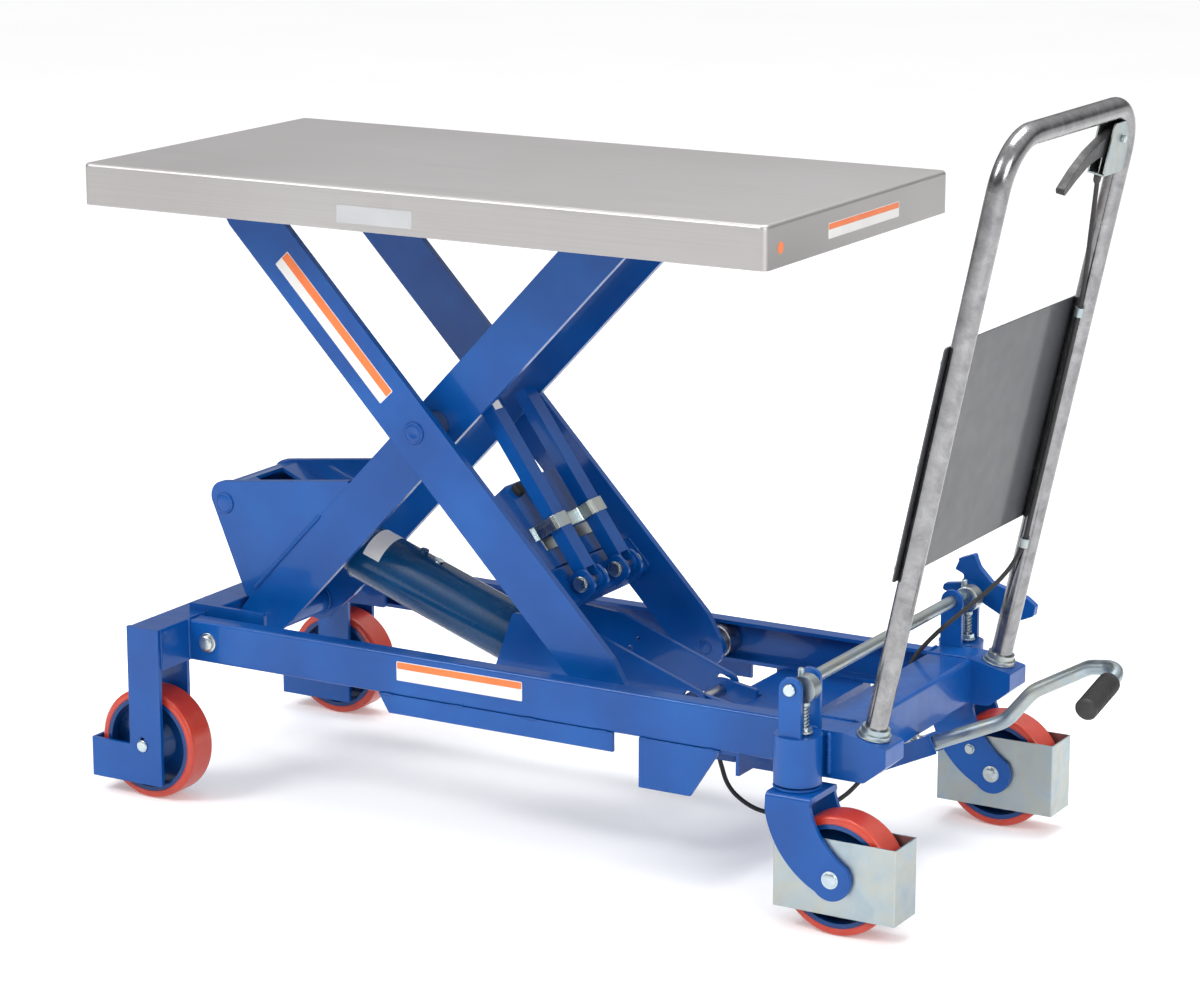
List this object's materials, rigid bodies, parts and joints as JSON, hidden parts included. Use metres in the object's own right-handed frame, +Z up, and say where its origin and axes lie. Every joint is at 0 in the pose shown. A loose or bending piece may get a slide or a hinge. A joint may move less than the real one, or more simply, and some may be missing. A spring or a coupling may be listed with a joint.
{
  "type": "scissor lift table",
  "caption": "Wheeled hydraulic scissor lift table: stainless top on a single pair of crossed arms, foot pump, push handle, two fixed wheels and two braked casters",
  "frame": {"origin": "on the floor, under the middle of the object's outer box, platform in its pictured raised position", "axes": "+X from the fixed wheels towards the handle, +Y to the far side, +Z up"},
  "size_m": [1.4021, 0.553, 0.991],
  "materials": {
    "blue_paint": "satin",
    "tread": "satin",
    "hub": "satin",
    "stainless": "brushed",
    "zinc": "satin",
    "bright_steel": "polished",
    "handle_steel": "satin",
    "panel_grey": "satin",
    "black_plastic": "matte",
    "black_rubber": "matte",
    "machined": "satin"
  },
  "bodies": {
    "base": {"side_rails": "blue_paint", "rear_beam": "blue_paint", "rear_legs": "blue_paint", "skirt_plates": "blue_paint", "front_beam": "blue_paint", "caster_housings": "blue_paint", "handle_sockets": "blue_paint", "cross_channel": "blue_paint", "base_pins": "machined", "handle_tube": "handle_steel", "handle_collars": "zinc", "control_panel": "panel_grey", "lever_bracket": "zinc", "cable_clips": "zinc", "release_cable": "black_rubber", "pump_body": "blue_paint", "brake_springs": "zinc"},
    "inner_frame": {"inner_arms": "blue_paint", "inner_tubes": "blue_paint", "ram_bracket": "blue_paint", "inner_pins": "machined"},
    "outer_frame": {"outer_arms": "blue_paint", "crossmember": "blue_paint", "outer_pins": "machined", "prop_strap": "zinc"},
    "platform": {"platform_pan": "stainless", "platform_guides": "blue_paint", "platform_lugs": "blue_paint"},
    "upper_roller_near": {"upper_roller_near": "machined"},
    "upper_roller_far": {"upper_roller_far": "machined"},
    "lower_roller_near": {"lower_roller_near": "machined"},
    "lower_roller_far": {"lower_roller_far": "machined"},
    "prop_near": {"prop_near": "blue_paint"},
    "prop_far": {"prop_far": "blue_paint"},
    "ram": {"ram": "bright_steel"},
    "cylinder_unit": {"cylinder": "blue_paint", "yoke_plates": "blue_paint"},
    "brake": {"brake_shaft": "zinc", "brake_pedal": "blue_paint"},
    "plunger_near": {"plunger_near": "zinc"},
    "plunger_far": {"plunger_far": "zinc"},
    "release_lever": {"release_lever": "black_plastic"},
    "foot_pedal": {"pedal_channel": "blue_paint", "pedal_tube": "zinc", "pedal_grip": "black_rubber"},
    "rear_wheel_near": {"rear_near_tyre": "tread", "rear_near_hub": "hub"},
    "rear_wheel_far": {"rear_far_tyre": "tread", "rear_far_hub": "hub"},
    "caster_near": {"fork_near": "blue_paint", "guard_near": "zinc", "axle_near": "zinc"},
    "caster_far": {"fork_far": "blue_paint", "guard_far": "zinc", "axle_far": "zinc"},
    "caster_wheel_near": {"caster_near_tyre": "tread", "caster_near_hub": "hub"},
    "caster_wheel_far": {"caster_far_tyre": "tread", "caster_far_hub": "hub"}
  },
  "joints": [
    {"name": "lift", "type": "hinge", "parent": "base", "child": "inner_frame", "pos_m": [-0.54825, 0, 0.2135], "axis": [0, -1, 0], "range_deg": [-32.9, 15.5]},
    {"name": "scissor_cross", "type": "hinge", "parent": "inner_frame", "child": "outer_frame", "pos_m": [-0.25183, 0, 0.525], "axis": [0, -1, 0], "range_deg": [-31, 65.8]},
    {"name": "platform_level", "type": "hinge", "parent": "outer_frame", "child": "platform", "pos_m": [-0.54825, 0, 0.8365], "axis": [0, -1, 0], "range_deg": [-32.9, 15.5]},
    {"name": "ram_pivot", "type": "hinge", "parent": "inner_frame", "child": "ram", "pos_m": [-0.59625, 0, 0.378], "axis": [0, -1, 0], "range_deg": [-13.79, 29.28]},
    {"name": "ram_travel", "type": "slide", "parent": "ram", "child": "cylinder_unit", "axis": [0.9426, 0, -0.3338], "range_m": [-0.08843, 0.04166]},
    {"name": "upper_roller_near_spin", "type": "hinge", "parent": "inner_frame", "child": "upper_roller_near", "pos_m": [0.0446, -0.094, 0.8365], "axis": [0, 1, 0], "continuous": true},
    {"name": "upper_roller_far_spin", "type": "hinge", "parent": "inner_frame", "child": "upper_roller_far", "pos_m": [0.0446, 0.094, 0.8365], "axis": [0, 1, 0], "continuous": true},
    {"name": "lower_roller_near_spin", "type": "hinge", "parent": "outer_frame", "child": "lower_roller_near", "pos_m": [0.0446, -0.169, 0.2135], "axis": [0, 1, 0], "continuous": true},
    {"name": "lower_roller_far_spin", "type": "hinge", "parent": "outer_frame", "child": "lower_roller_far", "pos_m": [0.0446, 0.169, 0.2135], "axis": [0, 1, 0], "continuous": true},
    {"name": "prop_near_swing", "type": "hinge", "parent": "outer_frame", "child": "prop_near", "pos_m": [-0.03583, -0.045, 0.33574], "axis": [0, 1, 0], "range_deg": [0, 60]},
    {"name": "prop_far_swing", "type": "hinge", "parent": "outer_frame", "child": "prop_far", "pos_m": [-0.03583, 0.045, 0.33574], "axis": [0, 1, 0], "range_deg": [0, 60]},
    {"name": "brake_shaft_turn", "type": "hinge", "parent": "base", "child": "brake", "pos_m": [0.36775, 0, 0.3026], "axis": [0, 1, 0], "range_deg": [0, 25]},
    {"name": "brake_plunger_near", "type": "slide", "parent": "base", "child": "plunger_near", "axis": [0, 0, -1], "range_m": [0, 0.004], "deforming": ["brake_springs"]},
    {"name": "brake_plunger_far", "type": "slide", "parent": "base", "child": "plunger_far", "axis": [0, 0, -1], "range_m": [0, 0.004]},
    {"name": "release_lever_squeeze", "type": "hinge", "parent": "base", "child": "release_lever", "pos_m": [0.59545, 0.15, 0.94], "axis": [-0.9781, 0, 0.2079], "range_deg": [0, 14], "stiffness_Nm_per_rad": 0.6, "springref_deg": -34.38},
    {"name": "foot_pedal_stroke", "type": "hinge", "parent": "base", "child": "foot_pedal", "pos_m": [0.24375, 0, 0.12], "axis": [0, 1, 0], "range_deg": [0, 16], "stiffness_Nm_per_rad": 30, "springref_deg": -14.32},
    {"name": "rear_wheel_near_spin", "type": "hinge", "parent": "base", "child": "rear_wheel_near", "pos_m": [-0.61125, -0.2265, 0.076], "axis": [0, 1, 0], "continuous": true},
    {"name": "rear_wheel_far_spin", "type": "hinge", "parent": "base", "child": "rear_wheel_far", "pos_m": [-0.61125, 0.2265, 0.076], "axis": [0, 1, 0], "continuous": true},
    {"name": "caster_near_swivel", "type": "hinge", "parent": "base", "child": "caster_near", "pos_m": [0.36775, -0.238, 0.17], "axis": [0, 0, 1], "continuous": true},
    {"name": "caster_wheel_near_spin", "type": "hinge", "parent": "caster_near", "child": "caster_wheel_near", "pos_m": [0.43175, -0.238, 0.076], "axis": [0, 1, 0], "continuous": true},
    {"name": "caster_far_swivel", "type": "hinge", "parent": "base", "child": "caster_far", "pos_m": [0.36775, 0.238, 0.17], "axis": [0, 0, 1], "continuous": true},
    {"name": "caster_wheel_far_spin", "type": "hinge", "parent": "caster_far", "child": "caster_wheel_far", "pos_m": [0.43175, 0.238, 0.076], "axis": [0, 1, 0], "continuous": true}
  ],
  "couplings": [
    {"joint": "scissor_cross", "follows": "lift", "ratio": -2},
    {"joint": "platform_level", "follows": "lift", "ratio": 1},
    {"joint": "ram_pivot", "follows": "lift", "ratio": -0.89},
    {"joint": "ram_travel", "follows": "lift", "m_per_rad": 0.154},
    {"joint": "brake_plunger_near", "follows": "brake_shaft_turn", "m_per_rad": 0.009167},
    {"joint": "brake_plunger_far", "follows": "brake_shaft_turn", "m_per_rad": 0.009167}
  ]
}
